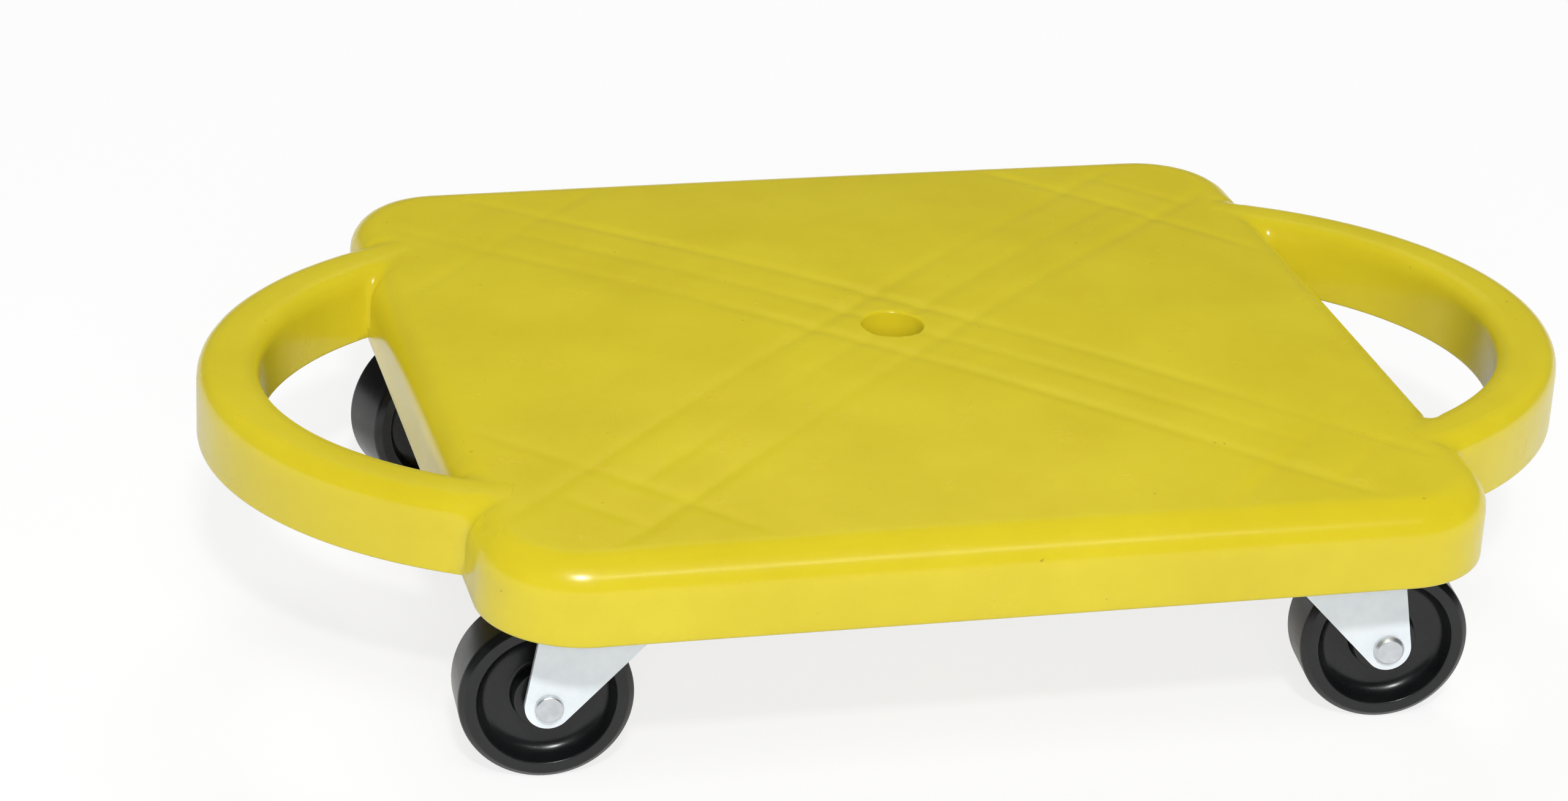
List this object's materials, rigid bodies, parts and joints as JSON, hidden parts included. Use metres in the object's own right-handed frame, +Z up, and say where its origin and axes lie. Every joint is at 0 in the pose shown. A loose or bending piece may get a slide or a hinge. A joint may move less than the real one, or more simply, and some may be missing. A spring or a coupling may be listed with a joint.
{
  "type": "scooter board",
  "caption": "Low rectangular plastic scooter board with a loop handle at each side and a centre hole, riding on swivel casters.",
  "frame": {"origin": "on the floor under the middle of the deck", "axes": "+X to the right-hand handle, +Y to the rear, +Z up"},
  "size_m": [0.4256, 0.28, 0.0884],
  "materials": {
    "yellow_plastic": "satin-gloss moulded lemon yellow, faintly mottled",
    "black_plastic": "satin moulded black",
    "zinc_steel": "bright zinc plating, bluish, slightly milky",
    "bright_steel": "plated steel, turned and riveted"
  },
  "bodies": {
    "board": {"deck": "yellow_plastic", "front_left_top_plate": "zinc_steel", "front_left_king_pin": "bright_steel", "front_left_ball_cage": "bright_steel", "front_left_screw_1": "bright_steel", "front_left_screw_2": "bright_steel", "front_left_screw_3": "bright_steel", "front_left_screw_4": "bright_steel", "front_right_top_plate": "zinc_steel", "front_right_king_pin": "bright_steel", "front_right_ball_cage": "bright_steel", "front_right_screw_1": "bright_steel", "front_right_screw_2": "bright_steel", "front_right_screw_3": "bright_steel", "front_right_screw_4": "bright_steel", "rear_left_top_plate": "zinc_steel", "rear_left_king_pin": "bright_steel", "rear_left_ball_cage": "bright_steel", "rear_left_screw_1": "bright_steel", "rear_left_screw_2": "bright_steel", "rear_left_screw_3": "bright_steel", "rear_left_screw_4": "bright_steel", "rear_right_top_plate": "zinc_steel", "rear_right_king_pin": "bright_steel", "rear_right_ball_cage": "bright_steel", "rear_right_screw_1": "bright_steel", "rear_right_screw_2": "bright_steel", "rear_right_screw_3": "bright_steel", "rear_right_screw_4": "bright_steel"},
    "front_left_fork_body": {"front_left_fork": "zinc_steel", "front_left_axle_rivet": "bright_steel", "front_left_axle_bushing": "bright_steel"},
    "front_left_wheel_body": {"front_left_wheel": "black_plastic"},
    "front_right_fork_body": {"front_right_fork": "zinc_steel", "front_right_axle_rivet": "bright_steel", "front_right_axle_bushing": "bright_steel"},
    "front_right_wheel_body": {"front_right_wheel": "black_plastic"},
    "rear_left_fork_body": {"rear_left_fork": "zinc_steel", "rear_left_axle_rivet": "bright_steel", "rear_left_axle_bushing": "bright_steel"},
    "rear_left_wheel_body": {"rear_left_wheel": "black_plastic"},
    "rear_right_fork_body": {"rear_right_fork": "zinc_steel", "rear_right_axle_rivet": "bright_steel", "rear_right_axle_bushing": "bright_steel"},
    "rear_right_wheel_body": {"rear_right_wheel": "black_plastic"}
  },
  "joints": [
    {"name": "front_left_swivel", "type": "hinge", "parent": "board", "child": "front_left_fork_body", "pos_m": [-0.108, -0.0988, 0.059], "axis": [0, 0, 1], "continuous": true},
    {"name": "front_left_wheel_spin", "type": "hinge", "parent": "front_left_fork_body", "child": "front_left_wheel_body", "pos_m": [-0.12696, -0.09764, 0.0254], "axis": [-0.061, -0.9981, 0], "continuous": true},
    {"name": "front_right_swivel", "type": "hinge", "parent": "board", "child": "front_right_fork_body", "pos_m": [0.108, -0.0988, 0.059], "axis": [0, 0, 1], "continuous": true},
    {"name": "front_right_wheel_spin", "type": "hinge", "parent": "front_right_fork_body", "child": "front_right_wheel_body", "pos_m": [0.12687, -0.10102, 0.0254], "axis": [0.1167, 0.9932, 0], "continuous": true},
    {"name": "rear_left_swivel", "type": "hinge", "parent": "board", "child": "rear_left_fork_body", "pos_m": [-0.108, 0.0988, 0.059], "axis": [0, 0, 1], "continuous": true},
    {"name": "rear_left_wheel_spin", "type": "hinge", "parent": "rear_left_fork_body", "child": "rear_left_wheel_body", "pos_m": [-0.12596, 0.09261, 0.0254], "axis": [0.3256, -0.9455, 0], "continuous": true},
    {"name": "rear_right_swivel", "type": "hinge", "parent": "board", "child": "rear_right_fork_body", "pos_m": [0.108, 0.0988, 0.059], "axis": [0, 0, 1], "continuous": true},
    {"name": "rear_right_wheel_spin", "type": "hinge", "parent": "rear_right_fork_body", "child": "rear_right_wheel_body", "pos_m": [0.12659, 0.10275, 0.0254], "axis": [-0.2079, 0.9781, 0], "continuous": true}
  ]
}
